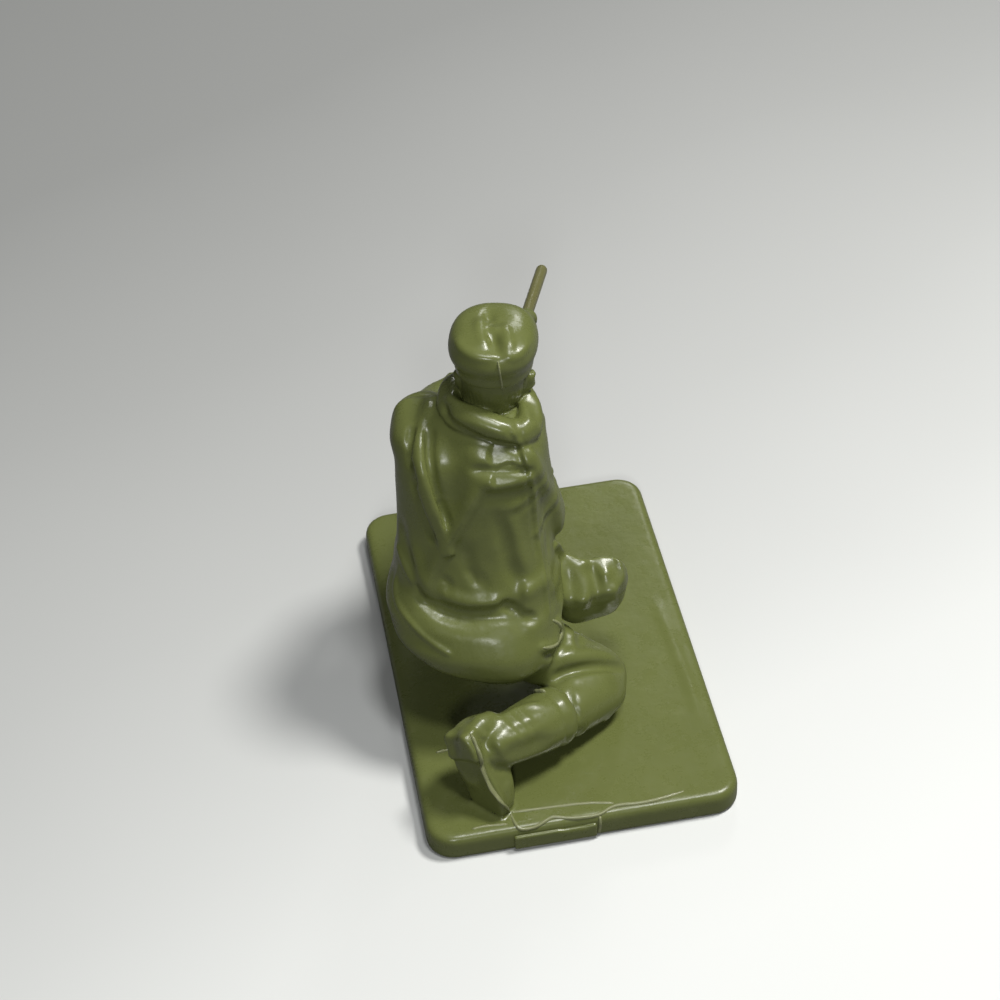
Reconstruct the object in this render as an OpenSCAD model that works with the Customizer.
// Toy soldier figure: a kneeling rifleman on a rectangular plate, moulded in one green plastic.
// +Y is the way the soldier faces, +X is his right-hand side, +Z is up.
// The origin is the middle of the plate's underside.

/* [Base plate] */
// Width of the plate, left to right
plate_w = 25; // [22:0.5:34]
// Depth of the plate, back to front
plate_d = 38.8; // [36:0.4:50]
// Thickness of the plate
plate_t = 2.3; // [1.6:0.1:4]
// Radius of the plate's corners, seen from above
plate_corner_r = 2.2; // [1:0.1:4]
// Radius of the soft edge round the plate's top
plate_edge_r = 0.6; // [0.2:0.1:1]
// Length of the tongue of moulding flash on the rear edge
flash_l = 6.6; // [3:0.2:10]
// Thickness of the moulding flash
flash_t = 0.3; // [0.2:0.05:0.5]

/* [Pose] */
// Height of the nape of the neck above the plate
nape_h = 27; // [25:0.5:30]
// Turn of the chest to the soldier's right, in degrees
chest_turn = 20; // [10:1:30]
// Turn of the head to the soldier's right, in degrees
head_turn = 14; // [4:1:24]
// Turn of the carbine to the soldier's right, in degrees
aim_turn = 18.5; // [13:0.5:21]
// Dip of the carbine's muzzle, in degrees
aim_dip = 12.5; // [9:0.5:15]

/* [Head and cap] */
// Height of the head, chin to crown
head_h = 7.2; // [6.4:0.1:8]
// Width of the head
head_w = 5.3; // [4.8:0.1:6]
// Depth of the head, without the nose
head_d = 6.3; // [5.6:0.1:7]
// How far the nose stands out
nose_l = 0.75; // [0.3:0.05:1.1]
// Width of the neck
neck_w = 4.2; // [3.6:0.1:4.8]
// Thickness of the cap's cloth over the head
cap_t = 0.5; // [0.35:0.05:0.7]
// Height of the cap's turned-up band
cap_band_h = 2.2; // [1.6:0.1:2.8]
// Depth of the crease along the cap's crown
cap_crease = 0.35; // [0.1:0.05:0.6]
// Thickness of the rolled collar
collar_t = 2.5; // [1.8:0.1:2.9]

/* [Tunic and breeches] */
// Width of the tunic across the chest
tunic_w = 12; // [11:0.2:13]
// Depth of the tunic, back to chest
tunic_d = 8.4; // [7.6:0.2:9.4]
// Length of the tunic's skirt below the belt
skirt_l = 4.4; // [3:0.2:5]
// Depth of the tunic's folds
fold_d = 0.22; // [0.05:0.01:0.35]
// Width of the seat of the breeches
seat_w = 12.8; // [11.4:0.2:13.6]
// Depth of the seat of the breeches
seat_d = 9.6; // [8.6:0.2:10.4]
// Height of the seat of the breeches
seat_h = 8.7; // [8:0.1:9.4]
// Thickness of a sleeve at the upper arm
sleeve_w = 4.2; // [3.6:0.1:4.8]
// Thickness of a sleeve at the wrist
wrist_w = 2.3; // [2:0.1:2.8]
// Thickness of a thigh
thigh_w = 5.9; // [5.2:0.1:6.6]
// Thickness of the lower leg
shin_w = 4.3; // [3.8:0.1:4.9]

/* [Boots] */
// Length of a boot's sole
boot_l = 8.4; // [7.4:0.1:9.2]
// Width of a boot's sole
boot_w = 3.5; // [2.9:0.1:3.9]
// Height of a boot's foot over the sole
boot_foot_h = 2.6; // [2:0.1:3.2]
// Thickness of the boot's leather over the lower leg
boot_wall = 0.3; // [0.2:0.05:0.45]
// Thickness of the sole
sole_t = 0.55; // [0.4:0.05:0.8]
// Thickness of the heel block below the sole
heel_t = 0.6; // [0.4:0.05:0.9]

/* [Webbing] */
// Width of the waist belt
belt_w = 1.7; // [1.2:0.1:2.2]
// Width of a shoulder strap
strap_w = 1.35; // [1:0.05:1.8]
// How far straps and belt stand off the cloth
strap_t = 0.45; // [0.3:0.05:0.6]
// Width of an ammunition pouch
pouch_w = 3; // [2.4:0.1:3.4]
// Height of an ammunition pouch
pouch_h = 2.6; // [2:0.1:3.2]
// Depth of an ammunition pouch
pouch_d = 1.3; // [1:0.1:1.8]
// Width of the haversack at the right hip
sack_w = 5.8; // [5:0.1:6.4]
// Height of the haversack
sack_h = 5.4; // [4.6:0.1:6]
// Depth of the haversack
sack_d = 2.9; // [2.4:0.1:3.4]

/* [Carbine] */
// Length of the carbine, butt to muzzle
gun_l = 19.8; // [18.3:0.5:21.8]
// Length of the wooden stock, butt to fore-end
stock_l = 11.6; // [10.8:0.2:12.4]
// Height of the butt
butt_h = 2.9; // [2.4:0.1:3.4]
// Width of the stock
stock_w = 1.35; // [1.1:0.05:1.7]
// Thickness of the barrel
barrel_d = 1; // [0.85:0.05:1.15]
// Height of the magazine below the stock
magazine_h = 1.7; // [1.2:0.1:2.2]
// Width of a hand across the knuckles
hand_w = 2.3; // [2:0.1:2.7]

/* [Hidden] */
cloth = [0.43, 0.45, 0.27];
plastic = [0.40, 0.43, 0.25];
thin = [0.48, 0.46, 0.26];

// Sides of a limb, of the larger forms and of round parts
limb_sides = 16;
body_sides = 26;
$fn = 32;
// Turns at which a rounded end is cut into rings
dome = [74, 38];
// Depth that a foot, a knee or a strap reaches into its seat before it is cut to it
sink = 0.5;

// Directions and small helpers

function unit(v) = v / norm(v);
function lerp(a, b, t) = a + (b - a) * t;
function reversed(list) = [for (i = [len(list) - 1:-1:0]) list[i]];
function signed_power(x, p) = sign(x) * pow(abs(x), p);
function bell(x) = exp(-x * x);
// A vector turned to the soldier's right, seen from above
function turned(v, a) = [v.x * cos(a) + v.y * sin(a), v.y * cos(a) - v.x * sin(a), v.z];
// A point of the pose, as a share of the nape height from the middle of the plate's top
function place(share) = [0, 0, plate_t] + nape_h * share;

// Rings and lofts

// Ring of points round c with half-sizes rx and ry along ax and ay
function ring(c, ax, ay, rx, ry, n) =
    [for (i = [0:n - 1]) c + rx * cos(360 * i / n) * ax + ry * sin(360 * i / n) * ay];

// Ring square to a direction, its rx axis square to ref
function section(c, dir, ref, rx, ry, n) =
    let (ax = unit(cross(dir, ref)), ay = cross(dir, ax))
    ring(c, ax, ay, rx, ry, n);

function heading(pts, i) = unit(pts[min(i + 1, len(pts) - 1)] - pts[max(i - 1, 0)]);

// Rings of a tube through points, with a rounded end at each side
function tube_rings(pts, rx, ry, ref, n = limb_sides) =
    let (m = len(pts) - 1, d0 = heading(pts, 0), d1 = heading(pts, m))
    concat(
        [for (t = dome) section(pts[0] - d0 * ry[0] * sin(t), d0, ref,
            rx[0] * cos(t), ry[0] * cos(t), n)],
        [for (i = [0:m]) section(pts[i], heading(pts, i), ref, rx[i], ry[i], n)],
        [for (t = reversed(dome)) section(pts[m] + d1 * ry[m] * sin(t), d1, ref,
            rx[m] * cos(t), ry[m] * cos(t), n)]);

// Rings of a straight limb from a to b, whose thickness follows shares of r
function limb_rings(a, b, r, shares, ref = [0, 0, 1], flat = 1, n = limb_sides) =
    let (m = len(shares) - 1)
    tube_rings([for (i = [0:m]) lerp(a, b, i / m)], r * shares, r * flat * shares, ref, n);

// Solid through rings that all have as many points
module loft(rings) {
    n = len(rings[0]);
    m = len(rings) - 1;
    polyhedron(
        points = [for (r = rings) each r],
        faces = concat(
            [[for (i = [0:n - 1]) i]],
            [[for (i = [n - 1:-1:0]) m * n + i]],
            [for (k = [0:m - 1], i = [0:n - 1])
                [k * n + i, (k + 1) * n + (i + 1) % n, k * n + (i + 1) % n]],
            [for (k = [0:m - 1], i = [0:n - 1])
                [k * n + i, (k + 1) * n + i, (k + 1) * n + (i + 1) % n]]));
}

// Row of a table at a place between its rows, on a smooth curve through them
function row_at(rows, v) =
    let (n = len(rows) - 1, i = min(floor(v), n - 1), t = v - i,
        a = rows[max(i - 1, 0)], b = rows[i], c = rows[i + 1], d = rows[min(i + 2, n)])
    (2 * b + (c - a) * t + (2 * a - 5 * b + 4 * c - d) * t * t
        + (3 * b - a - 3 * c + d) * t * t * t) / 2;

// Children moved to o, with their x and z axes laid along x and z
module laid(o, x, z) {
    y = cross(z, x);
    multmatrix([[x.x, y.x, z.x, o.x], [x.y, y.y, z.y, o.y], [x.z, y.z, z.z, o.z], [0, 0, 0, 1]])
        children();
}

// Everything below the plate's top, which feet and knees are cut to
module ground() {
    translate([-plate_w, -plate_d, -plate_t])
        cube([2 * plate_w, 2 * plate_d, 2 * plate_t]);
}

// Tunic, as a skin that straps, pouches and collar are laid on

waist_share = [-0.198, -0.085, 0.422];
waist = place(waist_share);
tunic_h = nape_h + plate_t - waist.z;
// Height, sideways and forward shift, width and depth, from the waist to the neck
tunic_shares = [
    [0.000, 0.000, 0.000, 0.93, 1.02],
    [0.045, 0.000, 0.005, 1.04, 1.12],
    [0.140, 0.005, 0.030, 1.07, 1.14],
    [0.250, 0.015, 0.055, 1.02, 1.06],
    [0.380, 0.025, 0.085, 0.99, 1.01],
    [0.500, 0.035, 0.110, 0.99, 1.01],
    [0.620, 0.045, 0.130, 1.00, 1.01],
    [0.740, 0.060, 0.150, 0.98, 0.97],
    [0.830, 0.085, 0.165, 0.91, 0.90],
    [0.900, 0.115, 0.190, 0.77, 0.79],
    [0.955, 0.150, 0.215, 0.57, 0.66],
    [1.000, 0.175, 0.235, 0.42, 0.55]];
tunic_rows = len(tunic_shares) - 1;

// Relief of the cloth: shoulder blades with a hollow between them, and slanting drapes
function tunic_relief(u, v) =
    bell((u - 302) / 22) * bell((v - 7.4) / 1.1) + bell((u - 238) / 16) * bell((v - 7.2) / 1.2)
    - bell((u - 262) / 14) * bell((v - 6) / 1.6)
    + bell((u - 290 + 26 * (v - 4)) / 14) * bell((v - 4) / 2.2)
    + sin(6 * u + 80 * v) / 2 * bell((v - 2.5) / 2);

// Point of the tunic at u degrees round it and v rows up it, lifted off the cloth
function tunic_skin(u, v, lift = 0) =
    let (row = row_at(tunic_shares, v), out = lift + fold_d * tunic_relief((u + 360) % 360, v),
        x = (tunic_w / 2 * row[3] + out) * signed_power(cos(u), 0.86),
        y = (tunic_d / 2 * row[4] + out) * signed_power(sin(u), 0.86))
    waist + [tunic_w * row[1], tunic_w * row[2], tunic_h * row[0]] + turned([x, y, 0], chest_turn);

function tunic_normal(u, v) =
    unit(cross(tunic_skin(u + 2, v) - tunic_skin(u - 2, v),
        tunic_skin(u, v + 0.1) - tunic_skin(u, v - 0.1)));

module tunic_form() {
    loft([for (v = [0:0.5:tunic_rows])
        [for (i = [0:body_sides - 1]) tunic_skin(360 * i / body_sides, v)]]);
}

// Flat band laid on the tunic along a route of [degrees round, rows up]
module tunic_band(route, w, t) {
    steps = [for (v = [0:0.5:len(route) - 1]) row_at(route, v)];
    pts = [for (p = steps) tunic_skin(p.x, p.y)];
    outs = [for (p = steps) tunic_normal(p.x, p.y)];
    loft([for (i = [0:len(steps) - 1])
        let (side = unit(cross(heading(pts, i), outs[i])))
        [pts[i] + side * w / 2 - outs[i] * sink, pts[i] - side * w / 2 - outs[i] * sink,
            pts[i] - side * w / 2 + outs[i] * t * 0.5, pts[i] - side * w * 0.3 + outs[i] * t,
            pts[i] + side * w * 0.3 + outs[i] * t, pts[i] + side * w / 2 + outs[i] * t * 0.5]]);
}

// Place on the tunic where a pouch sits, its z axis outward
module on_tunic(u, v) {
    out = tunic_normal(u, v);
    flat = unit([out.x, out.y, 0]);
    laid(tunic_skin(u, v), [-flat.y, flat.x, 0], flat) children();
}

module tunic() {
    color(cloth) difference() {
        tunic_form();
        on_head() head_form();
    }
}

// Head, neck and cap share one frame: x to the right, y to the front, z up from the chin

chin_share = [-0.094, 0.008, 0.945];
module on_head() {
    translate(place(chin_share)) rotate([-aim_dip, 0, -head_turn]) children();
}

// Height, forward shift, width and depth of the head, from the chin to the crown
head_shares = [
    [0.00, 0.170, 0.30, 0.40],
    [0.05, 0.135, 0.50, 0.60],
    [0.14, 0.090, 0.68, 0.77],
    [0.26, 0.050, 0.82, 0.87],
    [0.38, 0.020, 0.91, 0.93],
    [0.50, 0.005, 0.96, 0.97],
    [0.62, 0.000, 1.00, 1.00],
    [0.74, -0.010, 0.98, 0.99],
    [0.85, -0.020, 0.88, 0.90],
    [0.94, -0.030, 0.66, 0.70],
    [1.00, -0.030, 0.28, 0.30]];
head_sides = 32;

// Turn of the i-th point, closer together on the face than on the back of the head
function face_turn(i) = let (s = 360 * i / head_sides - 180) 90 + s - 28 * sin(s);

// Relief of the face at u degrees round the head and h of its height
function face_relief(u, h) =
    let (a = abs(u - 90))
    nose_l * (bell(a / 10) * bell((h - 0.37) / (h < 0.37 ? 0.035 : 0.1))
        - 0.30 * bell((a - 24) / 12) * bell((h - 0.51) / 0.05)
        + 0.22 * bell(a / 34) * bell((h - 0.59) / 0.035)
        + 0.18 * bell(a / 15) * bell((h - 0.235) / 0.03)
        - 0.16 * bell(a / 14) * bell((h - 0.17) / 0.025)
        + 0.24 * bell(a / 16) * bell((h - 0.08) / 0.05)
        + 0.16 * bell((a - 38) / 14) * bell((h - 0.38) / 0.07));

// Point of the head, lifted off it for the cap
function head_skin(u, v, lift = 0, face = 1) =
    let (row = row_at(head_shares, v), out = lift + face * face_relief(u, row[0]))
    [(head_w / 2 * row[2] + out) * signed_power(cos(u), 0.92),
        head_d * row[1] + (head_d / 2 * row[3] + out) * signed_power(sin(u), 0.92),
        head_h * row[0]];

module head_form() {
    loft([for (v = concat([for (k = [0:0.5:7]) k], [8, 9, 10]))
        [for (i = [0:head_sides - 1]) head_skin(face_turn(i), v)]]);
}

module head() {
    color(plastic) on_head() head_form();
}

ear_h = head_h * 0.24;
ear_w = ear_h * 0.6;
ear_out = head_w * 0.09;
module ear(side) {
    seat_y = -head_d * 0.03;
    on_head() difference() {
        loft(tube_rings(
            [for (t = [-0.5, -0.1, 0.3, 0.5])
                [side * (head_w / 2 - ear_out * (0.6 - t)), seat_y, head_h * 0.42 + ear_h * t]],
            ear_out * [1.2, 1.6, 1.8, 1.3], ear_w * [0.30, 0.44, 0.52, 0.36], [0, 1, 0], 12));
        head_form();
        cap_band_form();
    }
}
module left_ear() {
    color(plastic) ear(-1);
}
module right_ear() {
    color(plastic) ear(1);
}

// Soft cap: a turned-up band round the head, and a crown with a crease along it

band_low = head_h * 0.50;
band_high = band_low + cap_band_h;
function head_row(z) = lookup(z / head_h, [for (i = [0:10]) [head_shares[i][0], i]]);

// Ring of the cap at a height on the head, tipped down at the back
function cap_ring(z, lift, tip = head_h * 0.03) =
    [for (i = [0:body_sides - 1])
        let (u = 360 * i / body_sides, p = head_skin(u, head_row(z), lift, 0))
        [p.x, p.y, z + tip * (p.y / (head_d / 2))]];

module cap_band_form() {
    loft([cap_ring(band_low, cap_t * 0.2), cap_ring(band_low + cap_t * 0.3, cap_t * 0.9),
        cap_ring(lerp(band_low, band_high, 0.5), cap_t * 1.05),
        cap_ring(band_high - cap_t * 0.3, cap_t * 1.0), cap_ring(band_high, cap_t * 0.4)]);
}

module cap_band() {
    color(cloth) on_head() difference() {
        cap_band_form();
        head_form();
        cap_crown_form();
    }
}

// Rise above the band and reach from the middle of the cap, for the crown's rings
crown_shares = [[0, 0.96], [0.10, 1.05], [0.28, 1.09], [0.50, 1.07], [0.72, 1.00],
    [0.86, 0.87], [0.94, 0.70], [0.98, 0.45], [1.00, 0.16]];
crown_h = head_h + 2 * cap_t + cap_crease * 0.9 - band_high;
function crown_point(u, row) =
    let (x = (head_w / 2 + cap_t) * row[1] * signed_power(cos(u), 0.85),
        y = (head_d / 2 + cap_t) * row[1] * signed_power(sin(u), 0.85) - head_d * 0.02,
        rise = row[0] * crown_h - cap_crease * bell(x / (head_w * 0.09)) * bell((1 - row[0]) / 0.6)
            * (0.5 - 0.5 * y / (head_d / 2)))
    [x, y, band_high - cap_t + rise + head_h * 0.05 * y / (head_d / 2)];

module cap_crown_form() {
    loft([for (row = crown_shares)
        [for (i = [0:body_sides - 1]) crown_point(360 * (i + 0.5) / body_sides, row)]]);
}

module cap_crown() {
    color(cloth) on_head() difference() {
        cap_crown_form();
        head_form();
    }
}

// Neck and rolled collar

nape_share = [-0.118, 0.004, 0.925];
throat_share = [-0.104, 0.026, 1.07];
module neck_form() {
    loft(limb_rings(place(nape_share), place(throat_share), neck_w / 2, [1.05, 1, 1.02]));
}
module neck() {
    color(plastic) difference() {
        neck_form();
        tunic_form();
        collar_form();
        on_head() head_form();
    }
}

// The collar's roll lies round the tunic's neck, parted at the throat and slipped down at the right
collar_slip = 330;
function collar_point(u) = tunic_skin(u,
    10.75 - 1.3 * bell((u - collar_slip) / 45) - 1.6 * (bell((u - 90) / 40) + bell((u - 450) / 40)),
    collar_t * 0.04);
module collar_form() {
    count = 22;
    throat_gap = 12;
    butt_gap = 42;
    turns = [for (i = [0:count]) 90 + throat_gap + (360 - throat_gap - butt_gap) * i / count];
    r = collar_t / 2 * [for (i = [0:count])
        0.76 + 0.28 * sin(180 * i / count) + 0.16 * bell((turns[i] - collar_slip - 20) / 22)];
    loft(tube_rings([for (u = turns) collar_point(u)], r * 0.86, r, [0, 0, 1], 10));
}
module collar() {
    color(cloth) difference() {
        collar_form();
        tunic_form();
        on_head() head_form();
        on_gun() stock_form();
        on_gun() butt_plate_form();
    }
}

// Breeches, tunic skirt and belt

seat_low_share = [-0.208, -0.226, 0.184];
seat_shares = [
    [0.00, 0.110, -0.060, 0.20, 0.22],
    [0.05, 0.105, -0.050, 0.40, 0.44],
    [0.16, 0.080, -0.020, 0.62, 0.70],
    [0.32, 0.035, 0.050, 0.84, 0.90],
    [0.50, 0.000, 0.125, 0.98, 1.00],
    [0.70, 0.010, 0.215, 0.98, 0.98],
    [0.87, 0.025, 0.290, 0.90, 0.90],
    [1.00, 0.030, 0.330, 0.74, 0.73]];
function seat_skin(u, v, lift = 0) =
    let (row = row_at(seat_shares, v),
        x = (seat_w / 2 * row[3] + lift) * signed_power(cos(u), 0.92),
        y = (seat_d / 2 * row[4] + lift) * signed_power(sin(u), 0.92))
    place(seat_low_share) + [seat_w * row[1], seat_w * row[2], seat_h * row[0]]
        + turned([x, y, 0], chest_turn);
module seat_form() {
    loft([for (v = [0:0.5:7]) [for (i = [0:body_sides - 1]) seat_skin(360 * i / body_sides, v)]]);
}
module breeches_seat() {
    color(cloth) difference() {
        seat_form();
        tunic_form();
        ground();
    }
}

// The skirt flares over the seat from the waist to its hem
hem_t = strap_t * 1.2;
function skirt_ring(z, lift) =
    [for (i = [0:body_sides - 1])
        let (u = 360 * i / body_sides,
            p = seat_skin(u, lookup((z - place(seat_low_share).z) / seat_h,
                [for (k = [0:7]) [seat_shares[k][0], k]]),
                lift + fold_d * sin(5 * u) * 0.5 + hem_t * bell((u - 200) / 32)))
        [p.x, p.y, z]];
module skirt_form() {
    top = waist.z + belt_w / 2;
    hem = waist.z - skirt_l;
    loft([skirt_ring(hem, 0), skirt_ring(hem + hem_t * 0.2, hem_t),
        skirt_ring(lerp(hem, top, 0.35), hem_t * 0.95), skirt_ring(lerp(hem, top, 0.7), hem_t * 0.7),
        skirt_ring(top, hem_t * 0.4)]);
}
module tunic_skirt() {
    color(cloth) difference() {
        skirt_form();
        seat_form();
        tunic_form();
    }
}

module belt_form() {
    mid = waist.z;
    loft([skirt_ring(mid - belt_w / 2, 0), skirt_ring(mid - belt_w * 0.4, strap_t * 1.2),
        skirt_ring(mid + belt_w * 0.4, strap_t * 1.2), skirt_ring(mid + belt_w / 2, 0)]);
}
module waist_belt() {
    color(cloth) difference() {
        belt_form();
        skirt_form();
        seat_form();
        tunic_form();
    }
}

// Legs: the right knee is on the plate with the boot tucked up, the left foot is set forward

// The folded right leg: the thigh's knee end lies in front of the lower leg's
right_hip_share = [-0.140, -0.215, 0.278];
right_thigh_end_share = [0.137, -0.252, 0.090];
right_knee_share = [0.133, -0.315, 0.083];
right_ankle_share = [-0.216, -0.537, 0.176];
boot_top_share = 0.44;
left_hip_share = [-0.285, -0.125, 0.330];
left_knee_share = [-0.207, 0.285, 0.482];
left_ankle_share = [-0.126, 0.396, 0.126];

module right_thigh_form() {
    loft(limb_rings(place(right_hip_share), place(right_thigh_end_share), thigh_w / 2,
        [1.00, 0.98, 0.94, 0.89, 0.85, 0.81, 0.76]));
}
module right_shin_form() {
    loft(limb_rings(place(right_knee_share), place(right_ankle_share), shin_w / 2,
        [0.92, 1.00, 1.03, 0.97, 0.88, 0.80, 0.72]));
}
module left_thigh_form() {
    loft(limb_rings(place(left_hip_share), place(left_knee_share), thigh_w / 2,
        [1.0, 1.06, 1.02, 0.96, 0.98, 0.90, 0.84, 0.80]));
}
module left_shin_form() {
    loft(limb_rings(place(left_knee_share), place(left_ankle_share), shin_w / 2,
        [0.86, 0.94, 1.00, 0.96, 0.92, 0.82, 0.72], [0, 1, 0]));
}

// A boot's foot lies along x from heel to toe, with its sole's top at z = 0
foot_shares = [[0.00, 0.50, 0.62], [0.05, 0.78, 1.05], [0.16, 0.86, 1.35], [0.30, 0.82, 1.45],
    [0.42, 0.82, 1.22], [0.55, 0.92, 0.98], [0.70, 0.97, 0.84], [0.84, 0.86, 0.70],
    [0.95, 0.60, 0.50], [1.00, 0.34, 0.32]];
module foot_form() {
    loft([for (row = foot_shares)
        [for (i = [0:limb_sides - 1])
            let (u = 360 * i / limb_sides)
            [boot_l * row[0], boot_w / 2 * row[1] * cos(u),
                max(boot_foot_h * row[2] * (0.42 + 0.58 * signed_power(sin(u), 0.8)), 0)]]]);
}

// Sole and heel block, as one outline with a waist, below the foot
sole_shares = [[0.00, 0.34], [0.08, 0.46], [0.28, 0.46], [0.42, 0.43], [0.60, 0.49], [0.76, 0.51],
    [0.90, 0.42], [1.00, 0.18]];
module sole_outline(reach) {
    rows = [for (r = sole_shares) if (r[0] <= reach) r];
    polygon(concat([for (r = rows) [boot_l * r[0], boot_w * r[1]]],
        [for (r = reversed(rows)) [boot_l * r[0], -boot_w * r[1]]]));
}
module sole_form() {
    translate([0, 0, -sole_t]) linear_extrude(sole_t) sole_outline(1);
    translate([0, 0, -sole_t - heel_t]) linear_extrude(heel_t) sole_outline(0.3);
}

// The right boot stands on its toe, the left one lies flat
right_heel_share = [-0.324, -0.522, 0.250];
right_toe_share = [-0.259, -0.620, 0.014];
right_foot_dir = unit(right_toe_share - right_heel_share);
right_foot_up = unit(cross(right_foot_dir, cross([0.72, 0.69, 0], right_foot_dir)));
left_heel_share = [-0.145, 0.300, 0];
left_foot_turn = 11;
module on_right_foot() {
    laid(place(right_heel_share), right_foot_dir, right_foot_up) children();
}
module on_left_foot() {
    laid(place(left_heel_share) + [0, 0, sole_t + heel_t * 0.5], turned([0, 1, 0], left_foot_turn),
        [0, 0, 1]) children();
}

module right_shaft_form() {
    loft(limb_rings(lerp(place(right_knee_share), place(right_ankle_share), boot_top_share),
        place(right_ankle_share), shin_w / 2 + boot_wall, [0.98, 0.97, 0.93, 0.86, 0.78]));
}
module left_shaft_form() {
    loft(limb_rings(lerp(place(left_knee_share), place(left_ankle_share), boot_top_share),
        place(left_ankle_share), shin_w / 2 + boot_wall, [1.04, 1.02, 0.98, 0.90, 0.82, 0.76],
        [0, 1, 0]));
}
module shaft_top(knee, ankle, share) {
    dir = unit(place(ankle) - place(knee));
    laid(lerp(place(knee), place(ankle), share), unit(cross(dir, [1, 0, 0])), dir)
        translate([-shin_w, -shin_w, -2 * shin_w]) cube(2 * shin_w);
}

module right_boot_form() {
    difference() {
        union() {
            right_shaft_form();
            on_right_foot() foot_form();
        }
        shaft_top(right_knee_share, right_ankle_share, boot_top_share);
    }
}
module left_boot_form() {
    difference() {
        union() {
            left_shaft_form();
            on_left_foot() foot_form();
        }
        shaft_top(left_knee_share, left_ankle_share, boot_top_share);
    }
}

module right_thigh() {
    color(cloth) difference() {
        right_thigh_form();
        seat_form();
        skirt_form();
        belt_form();
        tunic_form();
        ground();
    }
}
module right_shin() {
    color(cloth) difference() {
        right_shin_form();
        right_thigh_form();
        right_boot_form();
        seat_form();
        ground();
    }
}
module right_boot() {
    color(plastic) difference() {
        right_boot_form();
        seat_form();
        on_right_foot() sole_form();
        ground();
    }
}
module right_sole() {
    color(plastic) difference() {
        on_right_foot() sole_form();
        ground();
    }
}
module left_thigh() {
    color(cloth) difference() {
        left_thigh_form();
        seat_form();
        skirt_form();
        belt_form();
        tunic_form();
        right_thigh_form();
    }
}
module left_shin() {
    color(cloth) difference() {
        left_shin_form();
        left_thigh_form();
        left_boot_form();
    }
}
module left_boot() {
    color(plastic) difference() {
        left_boot_form();
        ground();
    }
}
module left_sole() {
    color(plastic) difference() {
        on_left_foot() sole_form();
        ground();
    }
}

// Base plate with a soft top edge, and the tongue of moulding flash at its rear edge

module plate_layer(w, d, r, z, h) {
    translate([-w / 2 + r, -d / 2, z]) cube([w - 2 * r, d, h]);
    translate([-w / 2, -d / 2 + r, z]) cube([w, d - 2 * r, h]);
    for (x = [-1, 1], y = [-1, 1])
        translate([x * (w / 2 - r), y * (d / 2 - r), z]) cylinder(r = r, h = h);
}
module base_plate() {
    e = plate_edge_r;
    side = plate_w / 2 - plate_corner_r;
    front = plate_d / 2 - plate_corner_r;
    color(plastic) {
        plate_layer(plate_w, plate_d, plate_corner_r, 0, plate_t - e);
        plate_layer(plate_w - 2 * e, plate_d - 2 * e, plate_corner_r - e, 0, plate_t);
        for (s = [-1, 1]) {
            translate([s * (plate_w / 2 - e), 0, plate_t - e]) rotate([90, 0, 0])
                cylinder(r = e, h = 2 * front, center = true);
            translate([0, s * (plate_d / 2 - e), plate_t - e]) rotate([0, 90, 0])
                cylinder(r = e, h = 2 * side, center = true);
        }
        for (x = [-1, 1], y = [-1, 1])
            translate([x * side, y * front, plate_t - e]) rotate_extrude()
                intersection() {
                    translate([plate_corner_r - e, 0]) circle(r = e);
                    square([plate_corner_r, e]);
                }
    }
}
flash_x = -plate_w * 0.235;
module edge_flash() {
    color(thin) translate([flash_x, -plate_d / 2 - flash_t, plate_t * 0.12])
        cube([flash_l, flash_t, plate_t * 0.88 - plate_edge_r]);
}

// Carbine: its frame starts at the butt on the bore's line, x forward, y left, z up

butt_share = [-0.040, 0.112, 1.004];
module on_gun() {
    translate(place(butt_share)) rotate([0, 0, 90 - aim_turn]) rotate([0, aim_dip, 0]) children();
}
// Point of the carbine's frame in the figure's frame
function gun_point(p) =
    place(butt_share) + turned([-p.y, p.x * cos(aim_dip) + p.z * sin(aim_dip),
        p.z * cos(aim_dip) - p.x * sin(aim_dip)], aim_turn);

// Place along the stock, middle height, half-height and width of the stock there
stock_shares = [[0.00, -0.42, 0.44, 0.70], [0.02, -0.42, 0.50, 0.95], [0.12, -0.38, 0.46, 1.00],
    [0.24, -0.32, 0.37, 1.00], [0.33, -0.28, 0.26, 0.90], [0.38, -0.26, 0.22, 0.84],
    [0.45, -0.24, 0.25, 0.95], [0.55, -0.22, 0.27, 1.00], [0.75, -0.19, 0.23, 0.94],
    [0.96, -0.16, 0.18, 0.72], [1.00, -0.15, 0.12, 0.52]];
module stock_form(grow = 0) {
    loft([for (row = stock_shares)
        [for (i = [0:11])
            [stock_l * row[0], (stock_w / 2 * row[3] + grow) * signed_power(cos(30 * i), 0.6),
                butt_h * row[1] + (butt_h * row[2] + grow) * signed_power(sin(30 * i), 0.6)]]]);
}
receiver_at = stock_l * 0.42;
receiver_l = stock_l * 0.26;
receiver_d = barrel_d * 1.5;
band_at = stock_l * 0.86;
guard_r = butt_h * 0.34;
guard_at = stock_l * 0.47;
magazine_at = guard_at + guard_r * 1.1;
magazine_l = magazine_h * 0.5;
module barrel_form() {
    barrel_l = gun_l - receiver_at - receiver_l - barrel_d / 2;
    translate([receiver_at + receiver_l, 0, 0]) rotate([0, 90, 0]) {
        cylinder(d = barrel_d, h = barrel_l);
        translate([0, 0, barrel_l]) sphere(d = barrel_d);
    }
}
module receiver_form() {
    translate([receiver_at, 0, 0]) rotate([0, 90, 0]) cylinder(d = receiver_d, h = receiver_l);
    translate([receiver_at - receiver_d, 0, 0]) rotate([0, 90, 0])
        cylinder(d = receiver_d * 0.7, h = receiver_d);
}
module handguard_form() {
    translate([receiver_at + receiver_l, 0, 0]) rotate([0, 90, 0])
        cylinder(d = receiver_d, h = band_at - receiver_at - receiver_l);
}
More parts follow.
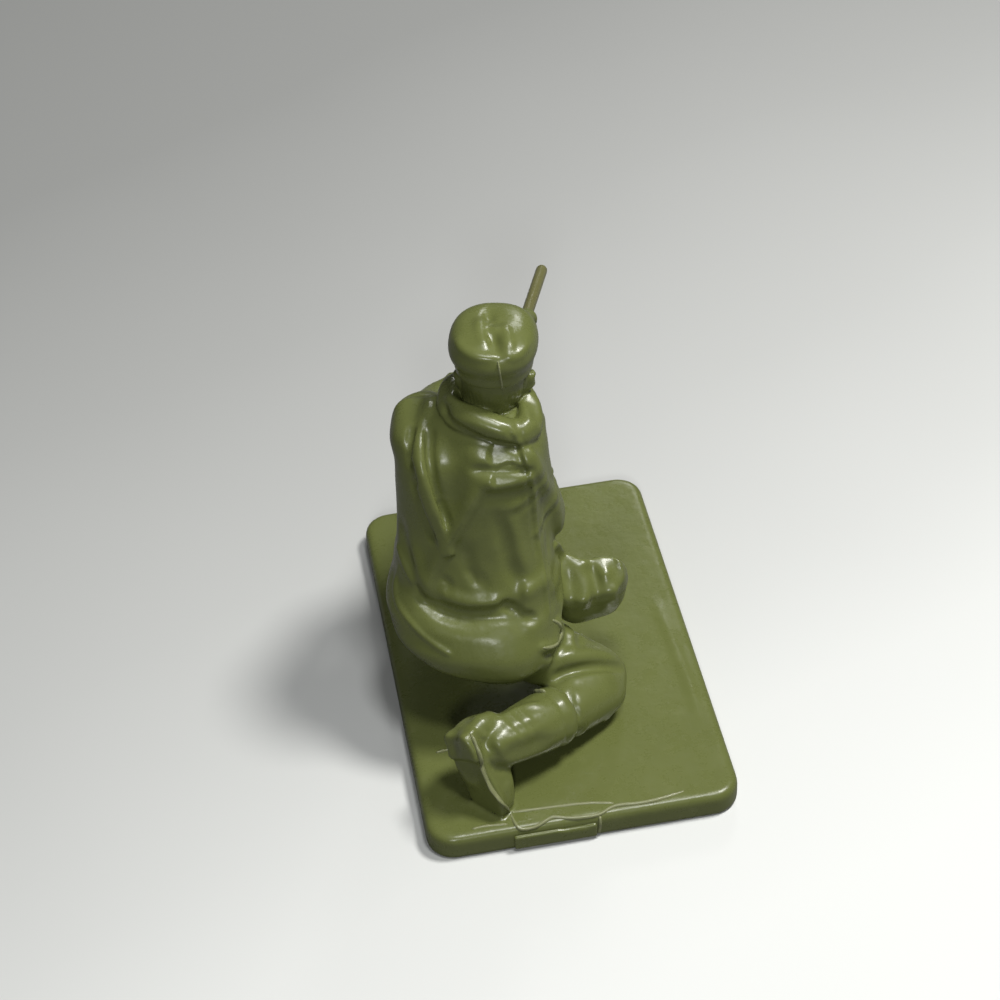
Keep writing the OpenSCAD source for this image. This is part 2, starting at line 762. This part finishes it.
// Receiver and handguard in one bore, as the stock and the hands are cut by them
module bore_form() {
    receiver_form();
    translate([receiver_at, 0, 0]) rotate([0, 90, 0])
        cylinder(d = receiver_d, h = band_at - receiver_at);
}
module gun_body_form() {
    barrel_form();
    bore_form();
    stock_form();
}
module carbine_stock() {
    color(plastic) difference() {
        on_gun() stock_form();
        on_gun() barrel_form();
        on_gun() bore_form();
        tunic_form();
        right_upper_sleeve_form();
        on_head() head_form();
    }
}
module barrel() {
    color(thin) on_gun() barrel_form();
}
module receiver() {
    color(plastic) on_gun() receiver_form();
}
module handguard() {
    color(plastic) on_gun() difference() {
        handguard_form();
        translate([receiver_at, 0, 0]) rotate([0, 90, 0])
            cylinder(d = barrel_d, h = gun_l - receiver_at);
    }
}
module butt_plate_form() {
    translate([-stock_w * 0.2, -stock_w * 0.4, butt_h * -0.82])
        cube([stock_w * 0.2, stock_w * 0.8, butt_h * 0.8]);
}
module butt_plate() {
    color(plastic) difference() {
        on_gun() butt_plate_form();
        tunic_form();
        right_upper_sleeve_form();
    }
}
module barrel_band() {
    color(plastic) difference() {
        on_gun() translate([band_at, 0, -barrel_d * 0.25]) rotate([0, 90, 0])
            cylinder(d = receiver_d * 1.22, h = barrel_d * 0.6);
        on_gun() gun_body_form();
        left_hand_form();
    }
}
module bolt_handle() {
    color(plastic) difference() {
        on_gun() translate([receiver_at - receiver_d * 0.4, 0, 0]) rotate([60, 0, 0]) {
            translate([0, 0, -receiver_d * 1.5]) cylinder(d = receiver_d * 0.36, h = receiver_d * 1.5);
            translate([0, 0, -receiver_d * 1.6]) sphere(d = receiver_d * 0.62);
        }
        on_gun() gun_body_form();
        right_hand_form();
        on_head() head_form();
        on_head() cap_band_form();
    }
}
module magazine() {
    color(plastic) difference() {
        on_gun() translate([magazine_at, -stock_w * 0.36, -magazine_h - butt_h * 0.3])
            cube([magazine_l, stock_w * 0.72, magazine_h]);
        on_gun() stock_form();
        left_hand_form();
        left_cuff_form();
    }
}
module trigger_guard() {
    color(plastic) difference() {
        on_gun() translate([guard_at, 0, -butt_h * 0.44]) rotate([90, 0, 0]) {
            difference() {
                cylinder(r = guard_r, h = stock_w * 0.4, center = true);
                cylinder(r = guard_r * 0.62, h = stock_w, center = true);
            }
        }
        on_gun() stock_form();
        right_hand_form();
    }
}
module rear_sight() {
    x = receiver_at + receiver_l;
    color(plastic) on_gun() difference() {
        translate([x, -barrel_d * 0.4, 0]) cube([barrel_d * 1.5, barrel_d * 0.8, barrel_d]);
        barrel_form();
        receiver_form();
        handguard_form();
    }
}

// Arms and hands

// Sideways from the waist's middle in tunic widths, then forward and up in nape heights
function beside(share) = [waist.x + tunic_w * share.x, nape_h * share.y, plate_t + nape_h * share.z];
left_shoulder_share = [-0.292, 0.022, 0.884];
left_elbow_share = [-0.063, 0.300, 0.766];
right_shoulder_share = [0.320, -0.070, 0.856];
right_elbow_share = [0.495, -0.037, 0.578];
left_shoulder = beside(left_shoulder_share);
left_elbow = beside(left_elbow_share);
right_shoulder = beside(right_shoulder_share);
right_elbow = beside(right_elbow_share);
left_grip = max(stock_l * 0.68, magazine_at + magazine_l + hand_w * 0.52);
right_grip = min(stock_l * 0.35, guard_at - hand_w * 0.2);
left_wrist = gun_point([left_grip - hand_w * 0.4, stock_w * 0.5, -butt_h * 0.78]);
right_wrist = gun_point([right_grip - hand_w * 0.6, stock_w * 0.25, -butt_h * 0.86]);

module left_upper_sleeve_form() {
    loft(limb_rings(left_shoulder, left_elbow, sleeve_w / 2,
        [1.0, 1.06, 1.0, 0.94, 0.98, 0.90, 0.86]));
}
module left_lower_sleeve_form() {
    loft(limb_rings(left_elbow, lerp(left_elbow, left_wrist, 0.78),
        wrist_w / 2, [1.20, 1.44, 1.40, 1.30, 1.16, 1.06, 1.0]));
}
module right_upper_sleeve_form() {
    loft(limb_rings(right_shoulder, right_elbow, sleeve_w / 2,
        [0.98, 1.04, 0.98, 0.92, 0.97, 0.90, 0.88], [0, 1, 0]));
}
module right_lower_sleeve_form() {
    loft(limb_rings(right_elbow, lerp(right_elbow, right_wrist, 0.78),
        wrist_w / 2, [1.20, 1.42, 1.32, 1.22, 1.14, 1.07, 1.0], [0, 1, 0]));
}
cuff_l = wrist_w * 0.5;
module cuff_form(elbow, wrist, ref) {
    near = lerp(elbow, wrist, 0.86);
    loft(limb_rings(near - unit(wrist - elbow) * cuff_l, near, wrist_w / 2,
        [0.95, 1.26, 1.26, 0.95], ref, 1, 12));
}
module left_cuff_form() {
    cuff_form(left_elbow, left_wrist, [0, 0, 1]);
}
module right_cuff_form() {
    cuff_form(right_elbow, right_wrist, [0, 1, 0]);
}

// A fist round the stock: its fingers are ribs along the stock, open above the barrel
finger_t = hand_w * 0.24;
module fist_form(at) {
    steps = 12;
    loft([for (k = [0:steps])
        let (t = k / steps, edge = sqrt(1 - pow(2 * t - 1, 6)),
            rib = finger_t * (0.55 + 0.45 * abs(sin(720 * t))) * edge)
        [for (i = [0:11])
            [at + hand_w * (t - 0.5), (stock_w / 2 + rib) * signed_power(cos(30 * i), 0.7),
                -butt_h * 0.22 + (butt_h * 0.28 + rib) * signed_power(sin(30 * i), 0.7)]]]);
}
module left_hand_form() {
    difference() {
        union() {
            on_gun() fist_form(left_grip);
            loft(limb_rings(lerp(left_elbow, left_wrist, 0.84),
                gun_point([left_grip, 0, -butt_h * 0.62]), hand_w * 0.36, [0.9, 0.96, 1.1, 1.0]));
        }
        on_gun() translate([0, -hand_w, barrel_d * 0.1]) cube([gun_l, 2 * hand_w, hand_w]);
    }
}
module right_hand_form() {
    on_gun() fist_form(right_grip);
    loft(limb_rings(lerp(right_elbow, right_wrist, 0.84),
        gun_point([right_grip, -stock_w * 0.3, -butt_h * 0.45]), hand_w * 0.36,
        [0.9, 0.96, 1.1, 1.0], [0, 1, 0]));
}
module left_upper_sleeve() {
    color(cloth) difference() {
        left_upper_sleeve_form();
        tunic_form();
    }
}
module left_lower_sleeve() {
    color(cloth) difference() {
        left_lower_sleeve_form();
        left_upper_sleeve_form();
        tunic_form();
        left_cuff_form();
    }
}
module left_cuff() {
    color(cloth) difference() {
        left_cuff_form();
        on_gun() gun_body_form();
    }
}
module left_hand() {
    color(plastic) difference() {
        left_hand_form();
        left_cuff_form();
        left_lower_sleeve_form();
        on_gun() gun_body_form();
    }
}
module right_upper_sleeve() {
    color(cloth) difference() {
        right_upper_sleeve_form();
        tunic_form();
    }
}
module right_lower_sleeve() {
    color(cloth) difference() {
        right_lower_sleeve_form();
        right_upper_sleeve_form();
        tunic_form();
        right_cuff_form();
    }
}
module right_cuff() {
    color(cloth) difference() {
        right_cuff_form();
        on_gun() gun_body_form();
        tunic_form();
    }
}
module right_hand() {
    color(plastic) difference() {
        right_hand_form();
        right_cuff_form();
        right_lower_sleeve_form();
        tunic_form();
        on_gun() gun_body_form();
        on_head() head_form();
    }
}

// Webbing laid on the tunic

left_route = [[112, 0.4], [116, 2], [120, 4], [126, 6], [138, 7.8], [160, 9.0], [184, 9.4],
    [206, 8.9], [226, 8.2], [240, 7.2], [248, 6.1], [254, 5.1], [259, 4.3], [262, 3.6]];
right_route = [[68, 0.4], [64, 2], [60, 4], [54, 6], [44, 7.6], [18, 9.0], [-18, 9.5],
    [-44, 8.9], [-38, 8.1], [-26, 6.9], [-16, 5.8]];
module left_strap() {
    color(cloth) difference() {
        tunic_band(left_route, strap_w, strap_t);
        tunic_form();
        collar_form();
        left_upper_sleeve_form();
        belt_form();
        skirt_form();
    }
}
module right_strap() {
    color(cloth) difference() {
        tunic_band(right_route, strap_w, strap_t);
        tunic_form();
        collar_form();
        right_upper_sleeve_form();
        right_lower_sleeve_form();
        on_gun() stock_form();
        belt_form();
        skirt_form();
    }
}

module pouch_block(w, h, d) {
    r = d * 0.3;
    hull()
        for (x = [-1, 1], z = [-1, 1])
            translate([x * (w / 2 - r), z * (h / 2 - r), -sink]) {
                cylinder(r = r, h = sink + d - r, $fn = 16);
                translate([0, 0, sink + d - r]) sphere(r = r, $fn = 16);
            }
}
module pouch(shares, w, h, d) {
    color(cloth) difference() {
        on_tunic(shares.x, shares.y) rotate([0, 0, 90]) pouch_block(h, w, d);
        tunic_form();
        belt_form();
        skirt_form();
        seat_form();
        right_thigh_form();
        left_thigh_form();
        tunic_band(left_route, strap_w, strap_t);
        tunic_band(right_route, strap_w, strap_t);
    }
}
// Degrees round the tunic and rows up it
left_pouch_shares = [118, 1.9];
right_pouch_shares = [62, 1.9];
hip_pouch_shares = [327, 1.2];
module left_pouch() {
    pouch(left_pouch_shares, pouch_w, pouch_h, pouch_d);
}
module right_pouch() {
    pouch(right_pouch_shares, pouch_w, pouch_h, pouch_d);
}
module hip_pouch() {
    pouch(hip_pouch_shares, pouch_w, pouch_h * 1.35, pouch_d * 0.5);
}
module belt_buckle() {
    color(cloth) difference() {
        on_tunic(90, 0.3) translate([-belt_w * 0.55, -belt_w * 0.8, -sink])
            cube([belt_w * 1.1, belt_w * 1.1, sink + strap_t * 2.2]);
        tunic_form();
        belt_form();
        skirt_form();
        seat_form();
    }
}

// Haversack at the right hip
sack_share = [0.136, -0.135, 0.335];
module on_sack() {
    translate(place(sack_share)) rotate([8, 0, 10]) children();
}
module sack_form() {
    rows = [[-0.50, 0.60], [-0.44, 0.86], [-0.25, 1.00], [0.05, 1.00], [0.28, 0.92], [0.44, 0.76],
        [0.50, 0.50]];
    on_sack() loft([for (row = rows)
        [for (i = [0:19])
            let (u = 18 * i, crinkle = 1 + 0.04 * cos(6 * u) * (0.5 - row[0]))
            [sack_w / 2 * row[1] * crinkle * signed_power(cos(u), 0.7),
                sack_d / 2 * row[1] * crinkle * signed_power(sin(u), 0.7), sack_h * row[0]]]]);
}
module flap_form() {
    rows = [[-0.02, 0.98], [0.02, 1.08], [0.26, 1.02], [0.46, 0.84], [0.58, 0.50]];
    on_sack() loft([for (row = rows)
        [for (i = [0:19])
            [sack_w / 2 * row[1] * signed_power(cos(18 * i), 0.7),
                sack_d / 2 * row[1] * signed_power(sin(18 * i), 0.7), sack_h * row[0]]]]);
}
module sack_neighbours() {
    tunic_form();
    belt_form();
    skirt_form();
    seat_form();
    right_thigh_form();
    right_shin_form();
    right_upper_sleeve_form();
    right_lower_sleeve_form();
}
module haversack() {
    color(cloth) difference() {
        sack_form();
        sack_neighbours();
        ground();
    }
}
module haversack_flap() {
    color(cloth) difference() {
        flap_form();
        sack_form();
        sack_neighbours();
    }
}

base_plate();
edge_flash();
right_thigh();
right_shin();
right_boot();
right_sole();
left_thigh();
left_shin();
left_boot();
left_sole();
breeches_seat();
tunic();
tunic_skirt();
waist_belt();
belt_buckle();
left_pouch();
right_pouch();
hip_pouch();
haversack();
haversack_flap();
left_strap();
right_strap();
collar();
neck();
head();
left_ear();
right_ear();
cap_crown();
cap_band();
left_upper_sleeve();
left_lower_sleeve();
left_cuff();
left_hand();
right_upper_sleeve();
right_lower_sleeve();
right_cuff();
right_hand();
carbine_stock();
butt_plate();
handguard();
barrel();
barrel_band();
receiver();
bolt_handle();
magazine();
trigger_guard();
rear_sight();
